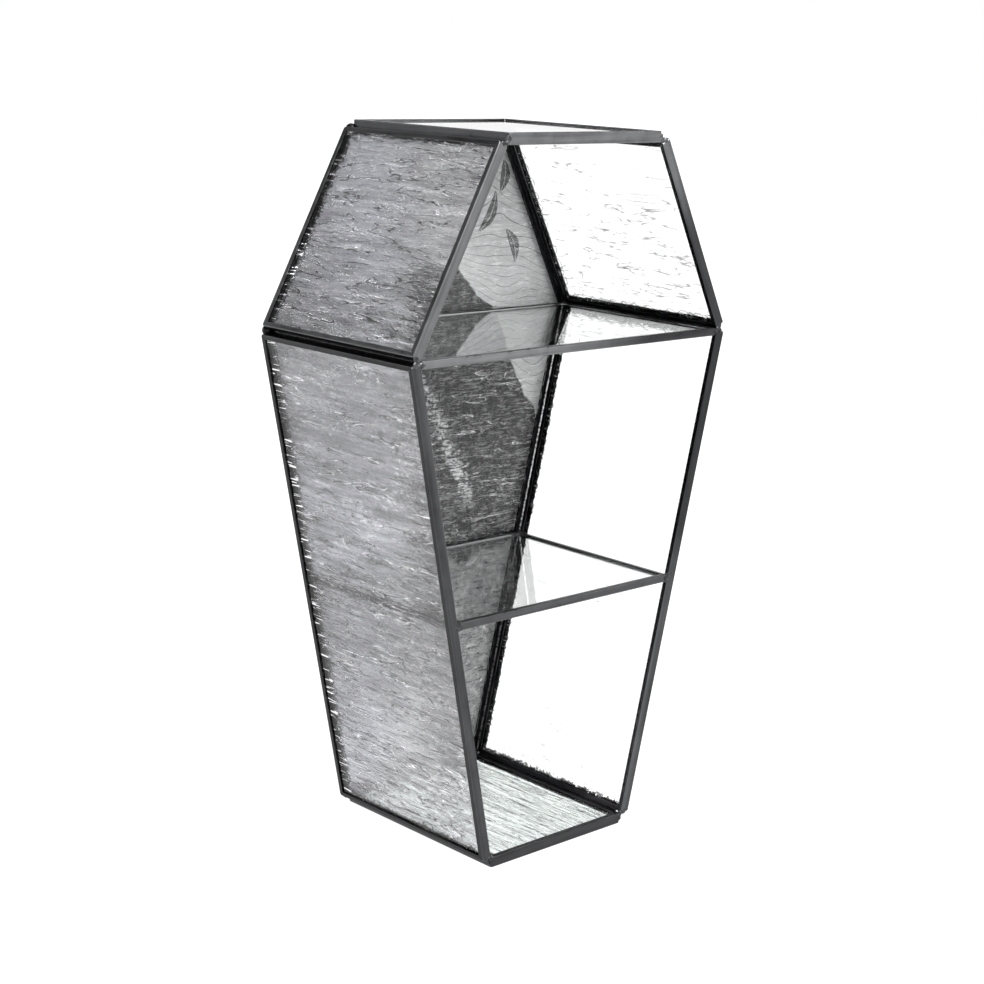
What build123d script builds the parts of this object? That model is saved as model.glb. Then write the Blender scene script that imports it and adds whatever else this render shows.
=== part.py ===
from build123d import *
import os
from math import asin, atan2, degrees, hypot

# A coffin-shaped display case, open at the front. Every pane of glass is held in its own strip of
# U channel, folded round the pane. The framed panes meet with their inner corners together, which
# leaves an open V groove outside each edge, and beads of solder hold them at the ends of the grooves.
# Millimetres: X to the right, Y to the back and Z up, with the origin under the middle of the case.

# The space inside the case
floor_width = 79.0
shoulder_width = 172.0
head_width = 88.0
shoulder_height = 214.0
head_height = 295.0
inner_depth = 95.0
middle_shelf_height = 106.7
shoulder_shelf_rise = 0.6

# The glass and the printed sheet
outer_glass = 3.2
shelf_glass = 2.0
picture_thickness = 0.5
glass_corner = 0.4

# The channel round the outer panes, and the lighter one round the shelves
channel_wall = 0.5
channel_lip = 2.1
shelf_channel_lip = 1.9
fold_radius = 0.4
bend_radius = 1.2
mitre_gap = 0.16

# Clearances beside the faces and edges of the glass, and between the framed panes
glass_play = 0.3
shelf_glass_play = 0.2
sheet_play = 0.15
glass_edge_gap = 0.3
corner_gap = 0.2
shelf_gap = 0.25

# The beads of solder
bead_radius = 2.4
bead_rise = 0.25
bead_offset = 0.9
back_bead_radius = 2.4
shelf_bead_radius = 2.1
shelf_bead_inset = 0.5

# Sizes and places that follow from these
channel_width = outer_glass + 2 * (glass_play + channel_wall)
shelf_channel_width = shelf_glass + 2 * (shelf_glass_play + channel_wall)
back_glass = outer_glass + 2 * glass_play - picture_thickness - 3 * sheet_play
floor_z = channel_width
front_y = -(inner_depth + corner_gap + channel_width - bead_rise) / 2
back_y = front_y + inner_depth
hexagon = [
    (-floor_width / 2, floor_z),
    (floor_width / 2, floor_z),
    (shoulder_width / 2, floor_z + shoulder_height),
    (head_width / 2, floor_z + head_height),
    (-head_width / 2, floor_z + head_height),
    (-shoulder_width / 2, floor_z + shoulder_height),
]
wall_names = ["bottom", "lower_right", "upper_right", "top", "upper_left", "lower_left"]
corner_names = ["bottom_left", "bottom_right", "shoulder_right", "top_right", "top_left", "shoulder_left"]


def save(part, name):
    """Writes one finished piece under its own name."""
    part.label = name
    export_step(part, f"parts/{name}.step")


def unit(start, end):
    """The direction from one point to another."""
    length = hypot(end[0] - start[0], end[1] - start[1])
    return (end[0] - start[0]) / length, (end[1] - start[1]) / length


def inset(corners, distance):
    """The corners of a convex outline whose sides have all moved in by a distance."""
    moved = []
    for i, corner in enumerate(corners):
        to_last = unit(corner, corners[i - 1])
        to_next = unit(corner, corners[(i + 1) % len(corners)])
        stretch = distance / abs(to_last[0] * to_next[1] - to_last[1] * to_next[0])
        moved.append(
            (
                corner[0] + stretch * (to_last[0] + to_next[0]),
                corner[1] + stretch * (to_last[1] + to_next[1]),
            )
        )
    return moved


class Panel:
    """A framed pane's place: a plane on its inner face, its outline there and its channel."""

    def __init__(self, plane, corners, width, lip):
        self.plane = plane
        self.corners = corners
        self.width = width
        self.lip = lip


def wall_panel(start, end):
    """The panel on one side of the hexagon, from front to back, facing out of the case."""
    along = unit(start, end)
    length = hypot(end[0] - start[0], end[1] - start[1])
    plane = Plane(
        origin=(start[0], back_y, start[1]),
        x_dir=(along[0], 0, along[1]),
        z_dir=(along[1], 0, -along[0]),
    )
    near, far = corner_gap, length - corner_gap
    outline = [(near, 0), (far, 0), (far, inner_depth), (near, inner_depth)]
    return Panel(plane, outline, channel_width, channel_lip)


def back_panel():
    """The hexagonal panel behind the walls, inside the line of their inner faces."""
    plane = Plane(origin=(0, back_y + corner_gap, 0), x_dir=(-1, 0, 0), z_dir=(0, 1, 0))
    corners = inset([(-x, z) for x, z in hexagon], corner_gap)
    return Panel(plane, corners, channel_width, channel_lip)


def half_width(height):
    """Half the inner width of the case at a height above its inner floor."""
    if height <= shoulder_height:
        share = height / shoulder_height
        return (floor_width + share * (shoulder_width - floor_width)) / 2
    share = (height - shoulder_height) / (head_height - shoulder_height)
    return (shoulder_width + share * (head_width - shoulder_width)) / 2


def shelf_panel(height):
    """A shelf whose upper face is at a height above the inner floor, clear of the walls and the back."""
    low = height - shelf_channel_width
    reach = min(half_width(low), half_width(height)) - shelf_gap
    depth = inner_depth - shelf_gap
    plane = Plane(origin=(0, front_y, floor_z + low))
    outline = [(-reach, 0), (reach, 0), (reach, depth), (-reach, depth)]
    return Panel(plane, outline, shelf_channel_width, shelf_channel_lip)


def envelope(panel):
    """The solid outline of a framed pane, with the rounded edges of its channel."""
    with BuildPart() as block:
        with BuildSketch(panel.plane) as outline:
            with BuildLine():
                Polyline(*panel.corners, close=True)
            make_face()
            fillet(outline.vertices(), bend_radius)
        extrude(amount=panel.width)
        flat = block.faces().sort_by(Axis(panel.plane.origin, panel.plane.z_dir))
        fillet(flat[0].edges() + flat[-1].edges(), fold_radius)
    return block.part


def mitres(panel):
    """Each corner's mitre: where it starts inside the web, its length and its angle."""
    count = len(panel.corners)
    lines = []
    for i, corner in enumerate(panel.corners):
        to_last = unit(corner, panel.corners[i - 1])
        to_next = unit(corner, panel.corners[(i + 1) % count])
        middle = unit((0, 0), (to_last[0] + to_next[0], to_last[1] + to_next[1]))
        half_sine = abs(middle[0] * to_next[1] - middle[1] * to_next[0])
        skip = bend_radius / half_sine - (bend_radius - channel_wall)
        reach = (panel.lip + channel_wall) / half_sine
        lines.append((corner, middle, skip, reach))
    return lines


def channel_frame(panel, seam):
    """The U channel folded round a pane. Its lips are mitred, and its two ends meet at one corner."""
    with BuildPart() as frame:
        add(envelope(panel))
        with BuildSketch(panel.plane.offset(channel_wall)) as slot:
            with BuildLine():
                Polyline(*panel.corners, close=True)
            make_face()
            fillet(slot.vertices(), bend_radius)
            offset(amount=-channel_wall)
        extrude(amount=panel.width - 2 * channel_wall, mode=Mode.SUBTRACT)
        with BuildSketch(panel.plane):
            with BuildLine():
                Polyline(*panel.corners, close=True)
            make_face()
            offset(amount=-panel.lip, kind=Kind.INTERSECTION)
        extrude(amount=panel.width, mode=Mode.SUBTRACT)
        with BuildSketch(panel.plane):
            for i, (corner, middle, skip, reach) in enumerate(mitres(panel)):
                start = 0 if i == seam else skip
                with Locations((corner[0] + start * middle[0], corner[1] + start * middle[1])):
                    Rectangle(
                        reach - start,
                        mitre_gap,
                        rotation=degrees(atan2(middle[1], middle[0])),
                        align=(Align.MIN, Align.CENTER),
                    )
        extrude(amount=panel.width, mode=Mode.SUBTRACT)
    return frame.part


def pane(panel, thickness, depth):
    """A flat sheet in its channel, at a depth behind the panel's inner face."""
    with BuildPart() as sheet:
        with BuildSketch(panel.plane.offset(depth)) as outline:
            with BuildLine():
                Polyline(*panel.corners, close=True)
            make_face()
            offset(amount=-(channel_wall + glass_edge_gap), kind=Kind.INTERSECTION)
            fillet(outline.vertices(), glass_corner)
        extrude(amount=thickness)
    return sheet.part


def outward(index):
    """The direction out of the case at one corner of the hexagon, between its two walls."""
    corner = hexagon[index]
    last = unit(hexagon[index - 1], corner)
    following = unit(corner, hexagon[(index + 1) % len(hexagon)])
    return unit((0, 0), (last[1] + following[1], -last[0] - following[0]))


def front_bead(spot, radius, blocks):
    """Solder run over the front of a joint: a low dome in front, and a round filling behind it."""
    dome_radius = (radius**2 + bead_rise**2) / (2 * bead_rise)
    dome_angle = degrees(asin(radius / dome_radius))
    with BuildPart() as bead:
        with BuildSketch(Plane(origin=(spot[0], front_y, spot[1]), x_dir=(1, 0, 0), z_dir=(0, 0, 1))):
            with BuildLine():
                CenterArc((0, dome_radius - bead_rise), dome_radius, 270, dome_angle)
                CenterArc((0, 0), radius, 0, 90)
                Line((0, radius), (0, -bead_rise))
            make_face()
        revolve(axis=Axis((spot[0], front_y, spot[1]), (0, 1, 0)))
        for block in blocks:
            add(block, mode=Mode.SUBTRACT)
    return bead.part


def back_bead(spot, out, place_y, radius, blocks):
    """A round bead of solder at a joint at the back, with its seam on the side that stays open."""
    with BuildPart() as bead:
        with Locations(Plane(origin=(spot[0], place_y, spot[1]), x_dir=(out[0], 0, out[1]), z_dir=(0, 1, 0))):
            Sphere(radius)
        for block in blocks:
            add(block, mode=Mode.SUBTRACT)
    return bead.part


def largest(part):
    """The biggest of the solids that a bead falls into, without its crumbs."""
    return part.solids().sort_by(SortBy.VOLUME)[-1]


os.makedirs("parts", exist_ok=True)

# The six walls: a folded channel and a pane for each side of the hexagon
wall_panels = [wall_panel(start, end) for start, end in zip(hexagon, hexagon[1:] + hexagon[:1])]
wall_blocks = [envelope(panel) for panel in wall_panels]
for name, panel in zip(wall_names, wall_panels):
    save(channel_frame(panel, seam=0), f"{name}_frame")
    save(pane(panel, outer_glass, channel_wall + glass_play), f"{name}_pane")

# The back: a pane with a printed sheet behind it, both in one channel
back = back_panel()
back_block = envelope(back)
picture_depth = channel_wall + sheet_play + back_glass + sheet_play
save(channel_frame(back, seam=0), "back_frame")
save(pane(back, back_glass, channel_wall + sheet_play), "back_pane")
save(pane(back, picture_thickness, picture_depth), "back_picture")

# The two shelves, in a lighter channel
shelf_heights = {
    "middle_shelf": middle_shelf_height,
    "shoulder_shelf": shoulder_height + shoulder_shelf_rise,
}
shelf_blocks = {}
for name, height in shelf_heights.items():
    shelf = shelf_panel(height)
    shelf_blocks[name] = envelope(shelf)
    save(channel_frame(shelf, seam=2), f"{name}_frame")
    save(pane(shelf, shelf_glass, channel_wall + shelf_glass_play), f"{name}_pane")

# Solder at the front and back of each corner of the hexagon
for i, name in enumerate(corner_names):
    out = outward(i)
    spot = hexagon[i][0] + bead_offset * out[0], hexagon[i][1] + bead_offset * out[1]
    neighbours = [wall_blocks[i - 1], wall_blocks[i]]
    if name.startswith("shoulder"):
        neighbours.append(shelf_blocks["shoulder_shelf"])
    bead = front_bead(spot, bead_radius, neighbours)
    save(largest(bead), f"solder_{name}_front")
    bead = back_bead(spot, out, back_y + corner_gap, back_bead_radius, neighbours + [back_block])
    save(largest(bead), f"solder_{name}_back")

# Solder at the four corners of the middle shelf
shelf_middle = middle_shelf_height - shelf_channel_width / 2
for side, name, wall in ((-1, "left", "lower_left"), (1, "right", "lower_right")):
    spot = side * (half_width(shelf_middle) - shelf_bead_inset), floor_z + shelf_middle
    neighbours = [wall_blocks[wall_names.index(wall)], shelf_blocks["middle_shelf"]]
    bead = front_bead(spot, shelf_bead_radius, neighbours)
    save(largest(bead), f"solder_shelf_{name}_front")
    bead = back_bead(spot, (0, 1), back_y, shelf_bead_radius, neighbours + [back_block])
    save(largest(bead), f"solder_shelf_{name}_back")
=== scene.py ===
import bmesh
import bpy
from math import atan2, cos, hypot, radians, sin
from mathutils import Matrix, Vector, noise


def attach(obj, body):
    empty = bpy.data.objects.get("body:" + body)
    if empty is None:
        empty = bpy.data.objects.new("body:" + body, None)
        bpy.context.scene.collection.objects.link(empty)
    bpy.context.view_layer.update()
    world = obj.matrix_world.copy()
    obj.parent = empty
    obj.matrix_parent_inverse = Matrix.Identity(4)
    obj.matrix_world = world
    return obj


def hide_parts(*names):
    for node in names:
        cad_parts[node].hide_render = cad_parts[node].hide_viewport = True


# The looks of a coffin-shaped display case: panes of rippled and clear glass in folded metal channel,
# joined with solder, and a sheet printed with a misty moor behind the back pane. Metres throughout.

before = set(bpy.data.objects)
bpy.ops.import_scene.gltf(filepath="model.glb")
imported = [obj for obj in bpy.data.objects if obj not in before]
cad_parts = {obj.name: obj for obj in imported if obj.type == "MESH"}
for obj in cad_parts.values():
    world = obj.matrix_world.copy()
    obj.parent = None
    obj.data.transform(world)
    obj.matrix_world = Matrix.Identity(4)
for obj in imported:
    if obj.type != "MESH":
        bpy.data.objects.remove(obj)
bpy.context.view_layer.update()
mm = 0.001

# The sizes of the solids
floor_width = 79.0 * mm
shoulder_width = 172.0 * mm
head_width = 88.0 * mm
shoulder_height = 214.0 * mm
head_height = 295.0 * mm
inner_depth = 95.0 * mm
middle_shelf_height = 106.7 * mm
shoulder_shelf_rise = 0.6 * mm
channel_width = 4.8 * mm
channel_lip = 2.1 * mm
channel_wall = 0.5 * mm
shelf_channel_width = 3.4 * mm
outer_glass = 3.2 * mm
back_glass = 2.85 * mm
glass_play = 0.3 * mm
sheet_play = 0.15 * mm
glass_edge_gap = 0.3 * mm
corner_gap = 0.2 * mm
shelf_gap = 0.25 * mm
floor_z = 4.8 * mm
front_y = -49.875 * mm
back_y = front_y + inner_depth
picture_y = back_y + corner_gap + channel_wall + sheet_play + back_glass + sheet_play

hexagon = [
    (-floor_width / 2, floor_z),
    (floor_width / 2, floor_z),
    (shoulder_width / 2, floor_z + shoulder_height),
    (head_width / 2, floor_z + head_height),
    (-head_width / 2, floor_z + head_height),
    (-shoulder_width / 2, floor_z + shoulder_height),
]
wall_names = ["bottom", "lower_right", "upper_right", "top", "upper_left", "lower_left"]


def set_camera():
    """Three-quarter view from the left, a little above the case."""
    azimuth, elevation, roll = radians(43.48), radians(13.05), radians(1.99)
    target, distance = Vector((-46.35, -49.875, 163.22)) * mm, 789.96 * mm
    picture_width, focal_length, sensor_width = 984.0, 1979.0, 36.0
    back = Vector((-sin(azimuth) * cos(elevation), -cos(azimuth) * cos(elevation), sin(elevation)))
    right = (-back).cross(Vector((0, 0, 1))).normalized()
    up = right.cross(-back)
    tilted_right = right * cos(roll) + up * sin(roll)
    tilted_up = up * cos(roll) - right * sin(roll)
    camera = bpy.data.objects.new("camera", bpy.data.cameras.new("camera"))
    camera.data.sensor_fit = "HORIZONTAL"
    camera.data.sensor_width = sensor_width
    camera.data.lens = sensor_width * focal_length / picture_width
    camera.data.clip_start = 0.01
    axes = Matrix((tilted_right, tilted_up, back)).transposed().to_4x4()
    camera.matrix_world = Matrix.Translation(target + back * distance) @ axes
    bpy.context.scene.collection.objects.link(camera)
    bpy.context.scene.camera = camera


set_camera()


class Panel:
    """A framed pane's place: its own axes, its outline and the width of its channel."""

    def __init__(self, origin, x, z, corners, width):
        self.origin = Vector(origin)
        self.x = Vector(x)
        self.z = Vector(z)
        self.y = self.z.cross(self.x)
        self.corners = corners
        self.width = width

    def point(self, spot, level=0.0):
        return self.origin + self.x * spot[0] + self.y * spot[1] + self.z * level

    def axes(self):
        turn = Matrix((self.x, self.y, self.z)).transposed().to_4x4()
        return Matrix.Translation(self.origin) @ turn


def unit(start, end):
    length = hypot(end[0] - start[0], end[1] - start[1])
    return (end[0] - start[0]) / length, (end[1] - start[1]) / length


def inset(corners, distance):
    """The corners of a convex outline whose sides have all moved in."""
    moved = []
    for i, corner in enumerate(corners):
        to_last = unit(corner, corners[i - 1])
        to_next = unit(corner, corners[(i + 1) % len(corners)])
        stretch = distance / abs(to_last[0] * to_next[1] - to_last[1] * to_next[0])
        across, along = to_last[0] + to_next[0], to_last[1] + to_next[1]
        moved.append((corner[0] + stretch * across, corner[1] + stretch * along))
    return moved


def wall_panel(start, end):
    along = unit(start, end)
    length = hypot(end[0] - start[0], end[1] - start[1])
    near, far = corner_gap, length - corner_gap
    outline = [(near, 0.0), (far, 0.0), (far, inner_depth), (near, inner_depth)]
    x, z = (along[0], 0.0, along[1]), (along[1], 0.0, -along[0])
    return Panel((start[0], back_y, start[1]), x, z, outline, channel_width)


def half_width(height):
    if height <= shoulder_height:
        share = height / shoulder_height
        return (floor_width + share * (shoulder_width - floor_width)) / 2
    share = (height - shoulder_height) / (head_height - shoulder_height)
    return (shoulder_width + share * (head_width - shoulder_width)) / 2


def shelf_panel(height):
    low = height - shelf_channel_width
    reach = min(half_width(low), half_width(height)) - shelf_gap
    depth = inner_depth - shelf_gap
    outline = [(-reach, 0.0), (reach, 0.0), (reach, depth), (-reach, depth)]
    return Panel((0.0, front_y, floor_z + low), (1, 0, 0), (0, 0, 1), outline, shelf_channel_width)


wall_ends = zip(hexagon, hexagon[1:] + hexagon[:1])
panels = {name: wall_panel(*ends) for name, ends in zip(wall_names, wall_ends)}
panels["back"] = Panel(
    (0.0, back_y + corner_gap, 0.0),
    (-1, 0, 0),
    (0, 1, 0),
    inset([(-x, z) for x, z in reversed(hexagon)], corner_gap),
    channel_width,
)
panels["middle_shelf"] = shelf_panel(middle_shelf_height)
panels["shoulder_shelf"] = shelf_panel(shoulder_height + shoulder_shelf_rise)


class Wire:
    """A shader socket. Python's operators on it add maths nodes to its look."""

    def __init__(self, look, socket):
        self.look = look
        self.socket = socket

    def __add__(self, other):
        return self.look.maths("ADD", self, other)

    __radd__ = __add__

    def __sub__(self, other):
        return self.look.maths("SUBTRACT", self, other)

    def __rsub__(self, other):
        return self.look.maths("SUBTRACT", other, self)

    def __mul__(self, other):
        return self.look.maths("MULTIPLY", self, other)

    __rmul__ = __mul__

    def __lt__(self, other):
        return self.look.maths("LESS_THAN", self, other)

    def __gt__(self, other):
        return self.look.maths("GREATER_THAN", self, other)


class Look:
    """The nodes of one material or of the world."""

    def __init__(self, owner):
        owner.use_nodes = True
        self.owner = owner
        self.tree = owner.node_tree
        self.tree.nodes.clear()

    def node(self, kind, settings, inputs, output=0):
        """Adds a node, with its settings first and then its inputs, and returns one of its outputs."""
        made = self.tree.nodes.new(kind)
        for name, value in settings.items():
            setattr(made, name, value)
        for name, value in inputs.items():
            if isinstance(value, Wire):
                self.tree.links.new(value.socket, made.inputs[name])
            elif isinstance(value, tuple) and made.inputs[name].type == "RGBA":
                made.inputs[name].default_value = (*value[:3], 1.0)
            else:
                made.inputs[name].default_value = value
        return Wire(self, made.outputs[output]) if len(made.outputs) else made

    def maths(self, operation, first, second=0.0):
        return self.node("ShaderNodeMath", {"operation": operation}, {0: first, 1: second})

    def place(self):
        return self.node("ShaderNodeTexCoord", {}, {}, "Object")

    def parts(self, vector):
        return [self.node("ShaderNodeSeparateXYZ", {}, {0: vector}, axis) for axis in range(3)]

    def vector(self, x, y, z):
        return self.node("ShaderNodeCombineXYZ", {}, {0: x, 1: y, 2: z})

    def stretched(self, vector, factors):
        return self.node("ShaderNodeVectorMath", {"operation": "MULTIPLY"}, {0: vector, 1: factors})

    def moved(self, vector, offset):
        return self.node("ShaderNodeVectorMath", {"operation": "ADD"}, {0: vector, 1: offset})

    def dot(self, vector, direction):
        settings = {"operation": "DOT_PRODUCT"}
        return self.node("ShaderNodeVectorMath", settings, {0: vector, 1: tuple(direction)}, "Value")

    def noise(self, vector, scale, detail=2.0, rough=0.5, twist=0.0):
        inputs = {"Vector": vector, "Scale": scale, "Detail": detail}
        inputs |= {"Roughness": rough, "Distortion": twist}
        return self.node("ShaderNodeTexNoise", {}, inputs, "Fac")

    def drawn(self, vector, offset, across, along, detail, rough, twist=0.0):
        """Noise drawn out along the second axis."""
        spot = self.stretched(self.moved(vector, offset), (across, along, across))
        return self.noise(spot, 1.0, detail, rough, twist)

    def step(self, value, low, high, start=0.0, end=1.0):
        """Goes smoothly from start to end while the value goes from low to high."""
        inputs = {"Value": value, "From Min": low, "From Max": high, "To Min": start, "To Max": end}
        return self.node("ShaderNodeMapRange", {"interpolation_type": "SMOOTHSTEP"}, inputs)

    def mix(self, factor, first, second):
        return self.node("ShaderNodeMix", {"data_type": "FLOAT"}, {0: factor, 2: first, 3: second})

    def tint(self, factor, first, second):
        return self.node("ShaderNodeMix", {"data_type": "RGBA"}, {0: factor, 6: first, 7: second}, 2)

    def bump(self, height, distance):
        return self.node("ShaderNodeBump", {}, {"Strength": 1.0, "Distance": distance, "Height": height})

    def surface(self, inputs):
        shader = self.node("ShaderNodeBsdfPrincipled", {}, inputs)
        self.node("ShaderNodeOutputMaterial", {}, {"Surface": shader})
        return self.owner


# Metal colours: the lightest of the patina, a pale grey for solder painted as a highlight, and the darkest
patina, highlight_metal, darkest = (0.26, 0.264, 0.27), (0.85, 0.85, 0.84), (0.008, 0.008, 0.009)
black, glass_refraction = (0.0, 0.0, 0.0), 1.5


def metal(look, tone, rough, normal, lightest=patina):
    """Patinated metal, from a tone between 0 and 1, a roughness, a normal and its lightest colour."""
    colour = look.tint(tone, darkest, lightest)
    return look.surface({"Base Color": colour, "Metallic": 1.0, "Roughness": rough, "Normal": normal})


def flow(look, place, panel):
    """The place for a rolled texture, whose ripples run along its second axis."""
    x, y, z = look.parts(place)
    return look.vector(y, x, z) if abs(panel.z.y) > 0.5 else place


def sides(look, place, panel, chosen):
    """How far a spot is from the nearest of a panel's chosen sides, and how far along that side it is.

    Each side is chosen with a length that is added to the distance from it.
    """
    near = run = None
    for i, extra in chosen.items():
        start, end = panel.corners[i], panel.corners[(i + 1) % len(panel.corners)]
        along = (panel.point(end) - panel.point(start)).normalized()
        inward = panel.z.cross(along)
        depth = look.dot(place, inward) - (inward.dot(panel.point(start)) - extra)
        length = look.dot(place, along) - along.dot(panel.point(start))
        if near is None:
            near, run = depth, length
        else:
            run = look.mix(depth < near, run, length)
            near = look.maths("MINIMUM", near, depth)
    return near, run


def channel_finish(name, panel, tones, reach, wear, joint_shading, side_shading=0.5):
    """Rolled channel: streaks along each run, patches of patina, folds rubbed lighter, and light and shade
    painted into its tone.
    """
    look = Look(bpy.data.materials.new(name))
    place = look.place()
    near, run = sides(look, place, panel, dict.fromkeys(range(len(panel.corners)), 0.0))
    level = look.dot(place, panel.z) - panel.z.dot(panel.origin)
    fold = near + look.maths("MINIMUM", level, panel.width - level)
    lines = look.noise(look.vector(run * 22.0, near * 1500.0, level * 1500.0), 1.0, 3.0, 0.6)
    bands = look.noise(look.vector(run * 9.0, near * 420.0, level * 420.0), 1.0, 1.0)
    patches = look.noise(place, 170.0, 4.0, 0.6)
    clouds = look.noise(look.moved(place, (3.1, 1.7, 0.4)), 34.0, 2.0)
    # Painted light and shade: the tone goes from one end of the panel to the other, up a wall and across a
    # shelf
    spots = [panel.point(corner)[reach[0]] for corner in panel.corners]
    low, high = min(spots), max(spots)
    ends = [low + share * (high - low) for share in reach[1:]]
    base = look.step(look.parts(place)[reach[0]], *ends, *tones)
    # Painted shade: faces that turn from the front have another share of the tone, painted light on the
    # bottom where that share is above 1, and those in the joints, where shade falls, a third
    facing = look.node("ShaderNodeNewGeometry", {}, {}, "True Normal")
    aside = look.maths("ABSOLUTE", look.dot(facing, (1.0, 0.0, 0.0)))
    base = base * look.step(aside, 0.78, 0.86, 1.0, side_shading)
    joint = look.maths("ABSOLUTE", look.dot(facing, panel.x))
    base = base * look.step(joint, 0.80, 0.90, 1.0, joint_shading)
    streaks = (lines - 0.5) * 0.9 + (bands - 0.5) * 1.3 + (patches - 0.5) * 0.5 + (clouds - 0.5) * 0.6
    worn = look.step(fold, 0.30 * mm, 0.75 * mm, 1.0, 0.0)
    tone = base * (1.0 + streaks + worn * (patches * wear))
    rough = look.step(patches + lines * 0.6, 0.5, 1.1, 0.26, 0.42)
    relief = look.bump(lines * 0.5 + bands * 1.4 + patches * 0.4, 0.035 * mm)
    return metal(look, tone, rough, relief)


def solder_finish(name, tone, lightest=patina, highlight_fade=None):
    """Solder under the same patina, or pale where it is painted as a highlight, smooth and a little
    blotched.

    highlight_fade: two heights between which the painted highlight goes from dull to its full tone.
    """
    look = Look(bpy.data.materials.new(name))
    place = look.place()
    blotches = look.noise(place, 620.0, 3.0, 0.6, 0.6)
    clouds = look.noise(place, 190.0, 2.0)
    shade = tone * look.step(blotches + clouds * 0.5, 0.55, 0.95, 0.35, 1.3)
    if highlight_fade:
        shade = shade * look.step(look.parts(place)[2], *highlight_fade, 0.15, 1.0)
    relief = look.bump(blotches * 0.6 + clouds, 0.16 * mm)
    return metal(look, shade, look.step(blotches, 0.35, 0.65, 0.22, 0.38), relief, lightest)


def clear_finish():
    """Float glass, with faint wipe marks."""
    look = Look(bpy.data.materials.new("clear_glass"))
    place = look.place()
    marks = look.noise(look.stretched(place, (60.0, 240.0, 240.0)), 1.0, 3.0, 0.6, 0.4)
    return look.surface(
        {
            "Base Color": (0.972, 0.99, 0.984),
            "Roughness": look.step(marks, 0.55, 0.85, 0.0, 0.05),
            "IOR": glass_refraction,
            "Transmission Weight": 1.0,
        }
    )


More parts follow.
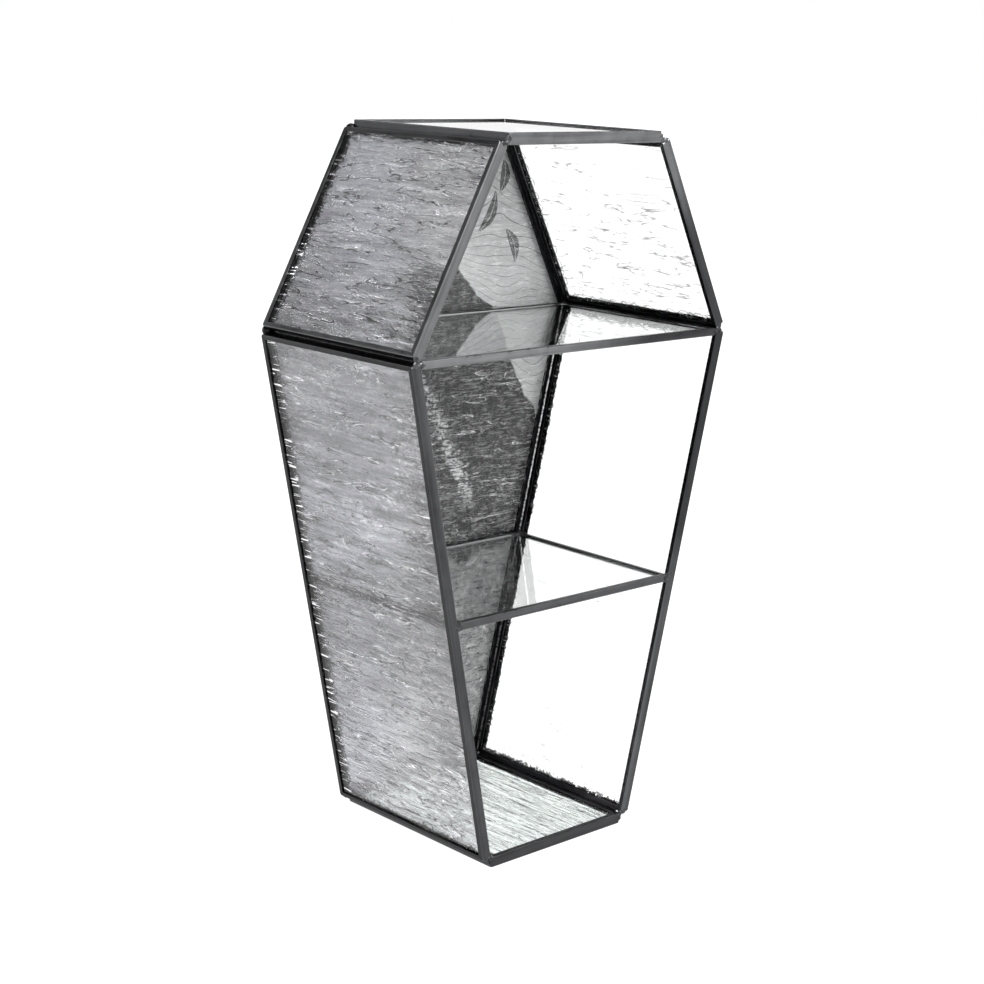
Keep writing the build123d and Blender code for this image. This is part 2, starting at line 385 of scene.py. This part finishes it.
def rippled_finish(
    name, panel, tint, crowds, edges, rim, grained, tones, ruled, gleaming, refraction=glass_refraction
):
    """Rolled textured glass. Its large ripples are in the mesh, and its creases and grain are here.

    crowds: how crowded the creases are at the foot and at the head.
    edges: the sides where the rim is uneven, each with the length that is added to the distance from it.
    rim: the least and the most that teeth of painted shade reach in there, how far loops of painted shade
    do, and how bright the lashes of painted highlight are.
    grained: how strong the grain is, in the relief and in the painted light and shade of the colour.
    tones: how light the pane is painted at its foot and above, as painted light and shade, and the share of
    its height between the two.
    ruled, gleaming: how dark the painted shade of the wavy lines is, and how bright the threads of painted
    highlight are.
    """
    least, most, looped, lashed = rim
    foot_tone, full_tone, tone_share = tones
    look = Look(bpy.data.materials.new(name))
    place = look.place()
    along = flow(look, place, panel)
    rolled = look.drawn(along, (0.0, 0.0, 0.0), 340.0, 30.0, 1.2, 0.5, 0.5)
    second = look.drawn(along, (0.2, 0.3, 0.1), 560.0, 75.0, 1.5, 0.5, 0.8)
    here = look.drawn(along, (0.4, 0.6, 0.2), 110.0, 40.0, 3.0, 0.65)
    there = look.drawn(along, (0.5, 0.1, 0.7), 210.0, 30.0, 2.0, 0.6)
    waves = look.drawn(along, (0.9, 0.5, 0.3), 330.0, 36.0, 1.6, 0.5, 0.45)
    crinkle = look.drawn(along, (0.1, 0.8, 0.6), 600.0, 190.0, 2.5, 0.6, 1.2)
    clouds = look.drawn(along, (0.3, 0.2, 0.9), 52.0, 24.0, 3.0, 0.6)
    creases = look.step(look.maths("ABSOLUTE", rolled - 0.5), 0.0, 0.05, 1.0, 0.0)
    dents = look.step(look.maths("ABSOLUTE", second - 0.5), 0.0, 0.04, 1.0, 0.0)
    heights = [panel.point(corner).z for corner in panel.corners]
    height = look.parts(place)[2]
    crowd = look.step(height, min(heights), max(heights) + mm, *crowds)
    creases = creases * look.step(here + crowd, 0.62, 0.72)
    dents = dents * look.step(there + crowd, 0.64, 0.74)
    # Thin wavy lines painted dark as shade, threads of painted highlight, and patches of crinkle with
    # painted dark and light spots
    shaded_rills = look.step(look.maths("ABSOLUTE", waves - 0.5), 0.0, 0.024, 1.0, 0.0)
    shaded_rills = shaded_rills * look.step(there + crowd, 0.52, 0.58)
    gleams = look.step(look.maths("ABSOLUTE", waves - 0.55), 0.0, 0.013, 1.0, 0.0)
    gleams = gleams * look.step(there, 0.50, 0.60)
    patchy = look.step(here, 0.44, 0.58, 0.45, 1.0)
    crumpled = (crinkle - 0.5) * patchy
    shaded_dips = look.step(crinkle, 0.45, 0.34) * patchy
    glints = look.step(crinkle, 0.57, 0.68) * patchy
    # Uneven glass by the channel, and the dark of the channel painted on the glass as shade in teeth and
    # loops, crossed by lashes of painted highlight
    near, run = sides(look, place, panel, edges)
    drops = look.noise(look.moved(place, (0.9, 0.2, 0.5)), 430.0, 1.5, 0.5, 0.2)
    teeth = look.noise(look.vector(run * 470.0, near * 140.0, 0.0), 1.0, 2.0, 0.55, 0.3)
    loops = look.noise(look.vector(run * 200.0, near * 60.0, 5.0), 1.0, 1.0, 0.5, 0.2)
    close_edges = {i: extra for i, extra in edges.items() if extra == 0.0}
    full_near, full_run = sides(look, place, panel, close_edges)
    lashes = look.noise(look.vector(full_run * 1100.0, full_near * 60.0, 9.0), 1.0, 1.0, 0.5, 0.3)
    uneven = look.step(near, channel_lip + 0.6 * mm, channel_lip + 3.0 * mm, 1.0, 0.0)
    reach = channel_lip + least
    deep = look.step(teeth, 0.35, 0.65, 0.0, most - least)
    shade = look.step(near - deep, reach, reach + 0.35 * mm, 0.05, 1.0)
    loop = near - reach - look.step(loops, 0.40, 0.62, 0.3 * looped, looped)
    shade = shade * look.step(look.maths("ABSOLUTE", loop), 0.2 * mm, 0.5 * mm, 0.3, 1.0)
    reach = channel_lip + most
    lashes = look.step(lashes, 0.59, 0.63, 0.0, lashed)
    lashes = lashes * look.step(full_near, reach, reach + 1.6 * mm, 1.0, 0.0)
    # Painted light and shade: darker in the wavy lines and dark spots, lighter and darker in the grain, and
    # a tone that changes with height
    shade = shade * (1.0 - shaded_rills * ruled) * (1.0 - shaded_dips * (0.6 * grained))
    grain = (clouds - 0.5) * 0.9 + (rolled - 0.5) * 1.9 + crumpled * 1.2
    full = min(heights) + tone_share * (max(heights) - min(heights)) + mm
    tone = look.step(height, min(heights), full, foot_tone, full_tone)
    shade = shade * look.maths("MINIMUM", tone + grain * grained, 1.0)
    # Threads, lashes and spots of painted highlight lighten the colour and, with the painted dark lines and
    # spots, are made metallic so they catch the surroundings
    painted_glints = look.maths("MAXIMUM", gleams * gleaming, lashes)
    painted_glints = look.maths("MAXIMUM", painted_glints, glints * (0.4 * grained))
    dark_lines = look.maths("MAXIMUM", shaded_rills, shaded_dips * 0.45) * (0.8 * grained)
    shade = look.maths("MAXIMUM", shade, painted_glints)
    relief = (creases + dents * 0.6) * max(0.0, 1.0 - 1.2 * max(grained, ruled))
    relief = relief + (rolled * (0.8 + crowd * 3.0) + second * 0.3) * (1.0 - 0.55 * grained)
    relief = relief + (crumpled * 2.4 - shaded_rills * 0.6) * grained + uneven * (drops * 4.0)
    return look.surface(
        {
            "Base Color": look.tint(shade, black, tint),
            "Metallic": look.maths("MAXIMUM", painted_glints, dark_lines),
            "Roughness": look.step(second, 0.45, 0.8, 0.0, 0.03),
            "IOR": refraction,
            "Transmission Weight": 1.0,
            "Normal": look.bump(relief, 0.2 * mm),
        }
    )


def leaf(look, x, z, spot, lean, length, width):
    """A plain leaf on the print: 1 within it, and less along its ribs."""
    across = (x - spot[0]) * cos(lean) - (z - spot[1]) * sin(lean)
    along = (x - spot[0]) * sin(lean) + (z - spot[1]) * cos(lean)
    bent = across + along * along * (0.3 / length)
    span = 1.0 - along * along * (1.0 / length ** 2)
    inside = look.step(span * width - look.maths("ABSOLUTE", bent), 0.0, 0.3 * mm)
    ribs = look.maths("SINE", (along + look.maths("ABSOLUTE", bent) * 1.4) * 3600.0)
    ribs = look.step(ribs, 0.2, 0.9, 1.0, 0.55)
    return inside * ribs * look.step(look.maths("ABSOLUTE", bent), 0.1 * mm, 0.4 * mm, 0.35, 1.0)


def picture_finish():
    """A printed sheet: a pale ruled sky over dark moorland, with a plain card back."""
    look = Look(bpy.data.materials.new("picture"))
    place = look.place()
    x, y, z = look.parts(place)
    flat = look.vector(x, 0.0, z)
    broad = look.noise(flat, 22.0, 3.0, 0.55)
    mottle = look.noise(look.moved(flat, (1.3, 0.0, 2.1)), 260.0, 6.0, 0.78, 0.5)
    strokes_and_glints = look.stretched(look.moved(flat, (0.6, 0.0, 1.7)), (150.0, 1.0, 900.0))
    strokes_and_glints = look.noise(strokes_and_glints, 1.0, 3.0, 0.7, 0.8)
    grain = look.noise(flat, 1500.0, 2.0, 0.6)
    # Thin ruled lines that rise and fall with the clouds
    wander = look.noise(look.moved(flat, (0.4, 0.0, 5.2)), 30.0, 1.0)
    ruled = look.maths("SINE", (z + wander * 0.030 + x * 0.22) * 1400.0)
    lines = look.step(ruled, 0.965, 0.998)
    # The dark mass of the moor, whose slope falls to the right
    edge = z + (broad - 0.5) * 0.06 + (mottle - 0.5) * 0.006
    slope = edge + x * x * 13.9
    hill = look.step(slope, 0.2400, 0.2380) * look.step(edge, 0.100, 0.108)
    right = look.step(x + z * 0.1 + (broad - 0.5) * 0.03, 0.0155, 0.0185)
    dark = hill * right
    mist = look.stretched(look.moved(flat, (0.7, 0.0, 0.9)), (170.0, 1.0, 420.0))
    mist = look.noise(mist, 1.0, 3.0, 0.6, 0.4)
    sky = 0.575 + (broad - 0.5) * 0.2 + (mist - 0.5) * 0.35
    sky = sky + look.step(z, 0.228, 0.280, 0.13, -0.06) * right
    # Light dashes in the sky are painted glints of the back pane's ripples; the ruled lines are print
    sky = sky + (look.step(strokes_and_glints, 0.56, 0.62, 0.0, 0.2) - lines * 0.42) * look.step(z, 0.14, 0.18) * right
    leaves = ((0.040, 0.262), 0.5, 0.011), ((0.055, 0.248), -0.4, 0.009), ((0.048, 0.279), 0.1, 0.008)
    for spot, lean, length in leaves:
        sky = sky - leaf(look, x, z, spot, lean, length, 3.0 * mm) * 0.55
    ground = 0.33 + (mottle - 0.5) * 1.2 - look.step(strokes_and_glints, 0.54, 0.6, 0.0, 0.2)
    low = look.step(edge, 0.108, 0.100) * right
    shade = look.mix(low, sky, ground)
    moor = look.step(z, 0.20, 0.23, 0.012, 0.06) + look.step(mottle, 0.48, 0.62, 0.0, 0.095)
    moor = moor + look.step(strokes_and_glints, 0.54, 0.6, 0.0, 0.17)
    # A torn streak of mist that falls across the moor
    torn = look.maths("ABSOLUTE", x + z * 0.525 - 0.1006 + (mottle - 0.5) * 0.03 + (broad - 0.5) * 0.012)
    torn = look.step(torn, 1.2 * mm, 3.6 * mm, 1.0, 0.0)
    torn = torn * look.step(z, 0.122, 0.140) * look.step(z, 0.198, 0.186)
    moor = look.mix(torn * look.step(strokes_and_glints, 0.40, 0.56), moor, 0.6)
    shade = look.mix(dark, shade, moor)
    shade = look.maths("MAXIMUM", shade * (0.92 + grain * 0.16), 0.02)
    pale = look.tint(look.step(x, -0.03, 0.02), (0.88, 0.885, 0.94), (0.98, 0.98, 0.98))
    front = look.tint(shade, black, pale)
    fibres = look.noise(look.stretched(flat, (260.0, 1.0, 900.0)), 1.0, 4.0, 0.7, 1.2)
    flecks = look.step(look.noise(look.moved(flat, (2.2, 0.0, 0.3)), 1300.0, 1.0), 0.70, 0.74, 0.0, 0.5)
    aged = (fibres - 0.5) * 0.9 + (broad - 0.5) * 1.1 + (mottle - 0.5) * 0.5 - flecks
    card = look.tint(0.5 + aged, (0.16, 0.156, 0.148), (0.32, 0.316, 0.304))
    colour = look.tint(y > picture_y + 0.25 * mm, front, card)
    return look.surface({"Base Color": colour, "Roughness": 0.9, "Specular IOR Level": 0.1})


def ripple(u, v, seed):
    """The height of the rolled texture, from -1 to 1. The ripples run along v."""
    def wave(width, length, shift):
        return noise.noise(Vector((u / width, v / length, seed + shift)))

    u, v = u / mm, v / mm
    u += 1.8 * wave(11, 16, 0)
    long = wave(3.4, 24, 7)
    short = wave(1.6, 12, 13)
    crease = 0.3 - abs(wave(2.4, 18, 19))
    return max(-1.0, min(1.0, 0.55 * long + 0.25 * short + 1.2 * max(0.0, crease) * (0.5 + long)))


def finish_mesh(name, mesh_work, material):
    """Turns a bmesh into a piece that rides with the case."""
    mesh = bpy.data.meshes.new(name)
    mesh_work.to_mesh(mesh)
    mesh_work.free()
    mesh.materials.append(material)
    piece = bpy.data.objects.new(name, mesh)
    bpy.context.scene.collection.objects.link(piece)
    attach(piece, "root")
    return piece


def rippled_pane(name, panel, glass, level, thickness, heights, seed, steps):
    """A pane with rolled ripples in its faces, cut to its panel's outline.

    level: how far its lower face is from its panel's origin.
    heights: those of the ripples in its lower face and in its upper one.
    steps: the size of its grid's cells.
    """
    outline = inset(panel.corners, channel_wall + glass_edge_gap)
    low = Vector((min(u for u, v in outline), min(v for u, v in outline)))
    high = Vector((max(u for u, v in outline), max(v for u, v in outline)))
    size = high - low
    work = bmesh.new()
    columns, rows = round(size.x / steps[0]), round(size.y / steps[1])
    bmesh.ops.create_grid(work, x_segments=columns, y_segments=rows, size=0.5)
    stretch = Matrix.Diagonal((size.x, size.y, 1.0, 1.0))
    bmesh.ops.transform(work, matrix=stretch, verts=work.verts)
    bmesh.ops.translate(work, vec=((low.x + high.x) / 2, (low.y + high.y) / 2, level), verts=work.verts)
    if len(outline) > 4:
        for start, end in zip(outline, outline[1:] + outline[:1]):
            along = unit(start, end)
            bmesh.ops.bisect_plane(
                work,
                geom=work.verts[:] + work.edges[:] + work.faces[:],
                dist=1e-6,
                plane_co=(*start, level),
                plane_no=(along[1], -along[0], 0.0),
                clear_outer=True,
            )
    whole = work.faces[:] + work.edges[:]
    outer = bmesh.ops.extrude_face_region(work, geom=whole, use_keep_orig=True)["geom"]
    outer_verts = [item for item in outer if isinstance(item, bmesh.types.BMVert)]
    bmesh.ops.translate(work, vec=(0, 0, thickness), verts=outer_verts)
    bmesh.ops.recalc_face_normals(work, faces=work.faces)
    outer_verts = set(outer_verts)
    for vert in work.verts:
        u, v = (vert.co.x, vert.co.y) if len(outline) == 4 else (vert.co.y, vert.co.x)
        if vert in outer_verts:
            vert.co.z += heights[1] * ripple(u, v, seed + 31)
        else:
            vert.co.z -= heights[0] * ripple(u, v, seed)
    for face in work.faces:
        face.smooth = abs(face.normal.z) > 0.5
    work.normal_update()
    bmesh.ops.transform(work, matrix=panel.axes(), verts=work.verts)
    return finish_mesh(name, work, glass)


def finish_solid(name, material):
    """Puts a material on a solid that stays."""
    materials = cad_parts[name].data.materials
    materials.clear()
    materials.append(material)


# Materials on the solids that stay. For each channel: its two tones, which are painted light and shade, the
# axis and the two shares of the panel's length between which one goes over into the other, how much its
# folds are rubbed, what share of the tone its joints have as painted shade, and what share its steep sides
# have where that isn't a half, painted shade that is painted light on the bottom
clear = clear_finish()
up, over = 2, 0
channels = {
    "bottom": ((0.12, 0.135), (over, 0.4, 1.0), 0.5, 1.0, 2.2),
    "lower_left": ((0.18, 0.19), (up, 0.0, 1.0), 0.4, 0.35),
    "lower_right": ((0.22, 0.08), (up, 0.48, 0.62), 0.4, 0.35),
    "upper_left": ((0.49, 0.51), (up, 0.0, 1.0), 0.1, 0.35),
    "upper_right": ((0.13, 0.54), (up, 0.5, 0.9), 0.1, 0.35),
    "top": ((0.545, 0.545), (up, 0.0, 1.0), 0.1, 0.5),
    # The back channel is painted nearly black as shade, but for the top of its highest run
    "back": ((0.05, 0.50), (up, 0.992, 0.998), 0.0, 1.0),
    "middle_shelf": ((0.25, 0.25), (over, 0.0, 1.0), 0.4, 1.0),
    "shoulder_shelf": ((0.62, 0.11), (over, 0.35, 0.8), 0.2, 1.0),
}
for name, values in channels.items():
    finish_solid(f"{name}_frame", channel_finish(f"{name}_channel", panels[name], *values))
# Front solder at each corner, lighter and darker from corner to corner as painted light and shade, following
# the channels beside them: lit and shaded copies of one solder
solder_tones = {
    "bottom_left": 0.15,
    "bottom_right": 0.16,
    "shoulder_right": 0.16,
    "top_right": 0.40,
    "top_left": 0.30,
    "shoulder_left": 0.34,
    "shelf_left": 0.22,
    "shelf_right": 0.26,
}
solders = {name: solder_finish(f"{name}_solder", tone) for name, tone in solder_tones.items()}
# Solder at the back and in the runs along the inner corners, darker than that at the front as painted shade
back_solder = solder_finish("back_solder", 0.04)
# A pale run of solder painted as a highlight along the lower right back joint, fading lower down
highlight_solder = solder_finish("highlight_solder", 0.9, highlight_metal, (0.095, 0.135))
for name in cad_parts:
    if name.startswith("solder"):
        spot = name.split("_", 1)[1].rsplit("_", 1)[0]
        finish_solid(name, solders[spot] if name.endswith("front") else back_solder)
for name in ("top", "middle_shelf", "shoulder_shelf"):
    finish_solid(f"{name}_pane", clear)
finish_solid("back_picture", picture_finish())

# Rippled panes in place of the flat ones, each with what rippled_finish asks for. A wall starts and ends at
# two corners of the hexagon, in their order in its list
back_side, end_side, start_side, back_upper_left = 0, 1, 3, 0
no_rim = (0.0, 0.0, 0.0, 0.0)
even = (1.0, 1.0, 1.0)
rippled = {
    "bottom": {
        "tint": (0.93, 0.99, 0.97),
        "crowds": (0.10, 0.10),
        "edges": {end_side: 0.0},
        "rim": (0.0, 0.6 * mm, 0.0, 0.0),
        "grained": 0.3,
        "tones": even,
        "ruled": 0.55,
        "gleaming": 0.05,
    },
    "lower_right": {
        "tint": (0.985, 0.988, 0.988),
        "crowds": (0.03, -0.09),
        "edges": {back_side: 0.0, start_side: 0.0},
        "rim": (0.0, 1.6 * mm, 0.0, 0.5),
        "grained": 0.0,
        "tones": even,
        "ruled": 0.28,
        "gleaming": 0.1,
    },
    "upper_right": {
        "tint": (0.98, 0.985, 0.985),
        "crowds": (0.08, -0.05),
        "edges": {back_side: 0.0, start_side: 0.0},
        "rim": (0.0, 0.5 * mm, 2.6 * mm, 0.9),
        "grained": 0.0,
        "tones": even,
        "ruled": 0.85,
        "gleaming": 0.1,
    },
    "upper_left": {
        "tint": (0.985, 0.975, 1.0),
        "crowds": (0.06, 0.06),
        "edges": {back_side: 0.0},
        "rim": (1.6 * mm, 3.6 * mm, 0.0, 0.9),
        "grained": 0.5,
        "tones": (0.68, 0.94, 1.0),
        "ruled": 0.95,
        "gleaming": 0.4,
    },
    "lower_left": {
        "tint": (0.985, 0.975, 1.0),
        "crowds": (0.085, 0.0),
        "edges": {back_side: 0.0, end_side: 3.4 * mm},
        "rim": (3.0 * mm, 5.2 * mm, 0.0, 0.9),
        "grained": 0.65,
        "tones": (0.98, 0.67, 0.5),
        "ruled": 0.9,
        "gleaming": 0.8,
    },
    "back": {
        "tint": (0.975, 0.98, 0.98),
        "crowds": (-0.02, -0.02),
        "edges": {back_upper_left: 0.0},
        "rim": no_rim,
        "grained": 0.1,
        "tones": (0.95, 0.95, 1.0),
        "ruled": 0.0,
        "gleaming": 0.5,
        "refraction": 1.27,
    },
}
for number, (name, values) in enumerate(rippled.items()):
    glass = rippled_finish(f"{name}_glass", panels[name], **values)
    if name == "back":
        level, thickness = channel_wall + sheet_play, back_glass
        heights, steps = (0.12 * mm, 0.0), (1.4 * mm, 0.6 * mm)
    else:
        level, thickness = channel_wall + glass_play, outer_glass
        heights, steps = (0.25 * mm, 0.2 * mm), (0.45 * mm, 1.2 * mm)
    seed = 70 * number
    pane = rippled_pane(f"{name}_rippled_pane", panels[name], glass, level, thickness, heights, seed, steps)
    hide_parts(f"{name}_pane")


def seam(name, start, end, radius, seed, solder):
    """A thin uneven run of solder that closes the joint between two channels."""
    segments, spacing = 8, 1.5 * mm
    work = bmesh.new()
    along = end - start
    rings = round(along.length / spacing)
    bmesh.ops.create_circle(work, segments=segments, radius=radius)
    ring = work.edges[:]
    for _ in range(rings):
        grown = bmesh.ops.extrude_edge_only(work, edges=ring)["geom"]
        verts = [item for item in grown if isinstance(item, bmesh.types.BMVert)]
        ring = [item for item in grown if isinstance(item, bmesh.types.BMEdge)]
        bmesh.ops.translate(work, vec=(0, 0, along.length / rings), verts=verts)
    for vert in work.verts:
        spot = vert.co / mm
        swell = 1.0 + 0.35 * noise.noise(Vector((seed, 0.0, spot.z / 3.0))) + 0.15 * noise.noise(spot * 1.3)
        vert.co.x *= swell
        vert.co.y *= swell
    bmesh.ops.holes_fill(work, edges=work.edges, sides=segments)
    bmesh.ops.recalc_face_normals(work, faces=work.faces)
    for face in work.faces:
        face.smooth = True
    turn = along.to_track_quat("Z", "Y").to_matrix().to_4x4()
    bmesh.ops.transform(work, matrix=Matrix.Translation(start) @ turn, verts=work.verts)
    finish_mesh(name, work, solder)


def outward(index):
    """The direction out of the case at one corner of the hexagon, between its two walls."""
    corner = hexagon[index]
    last = unit(hexagon[index - 1], corner)
    following = unit(corner, hexagon[(index + 1) % 6])
    return unit((0, 0), (last[1] + following[1], -last[0] - following[0]))


def solder_pad(name, spot, out, arms, seed, solder):
    """Solder flowed over a joint at the front: a filling in the groove that runs out over each channel."""
    filling_out, filling_deep, filling_size = 0.9 * mm, 0.95 * mm, (1.3 * mm, 1.0 * mm, 1.3 * mm)
    arm_deep, arm_size = 0.45 * mm, (1.8 * mm, 0.54 * mm, 1.5 * mm)
    lump = 0.9 * mm
    x, z = spot[0] + filling_out * out[0], spot[1] + filling_out * out[1]
    blobs = [(x, z, filling_deep, filling_size, 0.0)]
    for along, side, reach in arms:
        x = spot[0] + reach * along[0] + side[0]
        z = spot[1] + reach * along[1] + side[1]
        blobs.append((x, z, arm_deep, arm_size, -atan2(along[1], along[0])))
    work = bmesh.new()
    for x, z, deep, size, turn in blobs:
        place = Matrix.Translation((x, front_y + deep, z)) @ Matrix.Rotation(turn, 4, "Y")
        shape = Matrix.Diagonal((*size, 1.0))
        bmesh.ops.create_icosphere(work, subdivisions=4, radius=1.0, matrix=place @ shape)
    for vert in work.verts:
        shift = noise.noise_vector(vert.co / lump + Vector((seed, 0.0, 0.0)))
        vert.co += Vector((shift.x * 0.35, abs(shift.y) * 0.18, shift.z * 0.35)) * mm
    pad = finish_mesh(name, work, solder)
    remesh = pad.modifiers.new("flow", "REMESH")
    remesh.mode = "VOXEL"
    remesh.voxel_size = 0.12 * mm
    remesh.use_smooth_shade = True
    smooth = pad.modifiers.new("settle", "SMOOTH")
    smooth.factor = 0.5
    smooth.iterations = 5
    return pad


# Without a seed of its own, noise_vector would give other pads in each run
noise.seed_set(5)
corner_names = ["bottom_left", "bottom_right", "shoulder_right", "top_right", "top_left", "shoulder_left"]
wall_reach, shelf_reach = 0.9 * mm, 1.7 * mm
for i, name in enumerate(corner_names):
    out = outward(i)
    before = unit(hexagon[i], hexagon[i - 1])
    after = unit(hexagon[i], hexagon[(i + 1) % 6])
    half = channel_width / 2
    arms = [
        (before, (-before[1] * half, before[0] * half), wall_reach),
        (after, (after[1] * half, -after[0] * half), wall_reach),
    ]
    if name.startswith("shoulder"):
        inward = 1.0 if hexagon[i][0] < 0 else -1.0
        arms.append(((inward, 0.0), (0.0, shoulder_shelf_rise - shelf_channel_width / 2), shelf_reach))
    pad = solder_pad(f"{name}_solder_pad", hexagon[i], out, arms, i, solders[name])
    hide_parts(f"solder_{name}_front")

# Runs of solder along the joints of the walls, and along the joints of the walls with the back, darkened as
# painted shade, but for the back run of the lower right wall, pale as a painted highlight
joint_radius, back_radius = 0.42 * mm, 0.5 * mm
seam_front_y, seam_end_y, seam_back_y = front_y + 3 * mm, back_y - 1 * mm, back_y + 0.1 * mm
for i, name in enumerate(wall_names):
    x, z = hexagon[i]
    next_x, next_z = hexagon[(i + 1) % 6]
    start, end = Vector((x, seam_front_y, z)), Vector((x, seam_end_y, z))
    seam(f"{name}_joint_seam", start, end, joint_radius, i, back_solder)
    start, end = Vector((x, seam_back_y, z)), Vector((next_x, seam_back_y, next_z))
    solder = highlight_solder if name == "lower_right" else back_solder
    seam(f"{name}_back_seam", start, end, back_radius, i + 10, solder)


def set_floor():
    """A plain pale floor that gives off as much light as the white around it."""
    floor_reach = 6.0
    look = Look(bpy.data.materials.new("studio_floor"))
    place = look.place()
    shade = look.tint(look.noise(place, 3.0), (0.07, 0.07, 0.07), (0.09, 0.09, 0.09))
    material = look.surface(
        {
            "Base Color": shade,
            "Roughness": 0.8,
            "Emission Color": (1.0, 1.0, 1.0),
            "Emission Strength": 1.03,
        }
    )
    work = bmesh.new()
    bmesh.ops.create_grid(work, x_segments=1, y_segments=1, size=floor_reach)
    mesh = bpy.data.meshes.new("studio_floor")
    work.to_mesh(mesh)
    work.free()
    mesh.materials.append(material)
    floor = bpy.data.objects.new("studio_floor", mesh)
    bpy.context.scene.collection.objects.link(floor)


def set_world():
    """A white surround, dimmer higher up, with soft lights overhead, in front and low at the back left.

    The camera sees plain white in its place.
    """
    white = (1.0, 1.0, 1.0)
    world = bpy.data.worlds.new("studio")
    bpy.context.scene.world = world
    look = Look(world)
    way = look.node("ShaderNodeTexCoord", {}, {}, "Generated")
    up = look.parts(way)[2]
    band = look.step(up, 0.35, 0.44, 1.12, 0.2)
    overhead = look.step(up, 0.82, 0.95, 0.0, 2.2)
    to_front = look.dot(way, Vector((0.1, -0.70, 0.70)).normalized())
    front = look.step(to_front, 0.89, 0.95, 0.0, 16.5)
    to_strip = look.dot(way, Vector((-0.70, 0.70, 0.14)).normalized())
    level = look.step(up, 0.09, 0.12) * look.step(up, 0.24, 0.20)
    strip = level * look.step(to_strip, 0.945, 0.975, 0.0, 11.0)
    power = band + overhead + front + strip
    studio = look.node("ShaderNodeBackground", {}, {"Color": white, "Strength": power})
    plain = look.node("ShaderNodeBackground", {}, {"Color": white, "Strength": 1.0})
    seen = look.node("ShaderNodeLightPath", {}, {}, "Is Camera Ray")
    both = look.node("ShaderNodeMixShader", {}, {0: seen, 1: studio, 2: plain})
    look.node("ShaderNodeOutputWorld", {}, {"Surface": both})


set_floor()
set_world()
bpy.context.scene.view_settings.view_transform = "Standard"
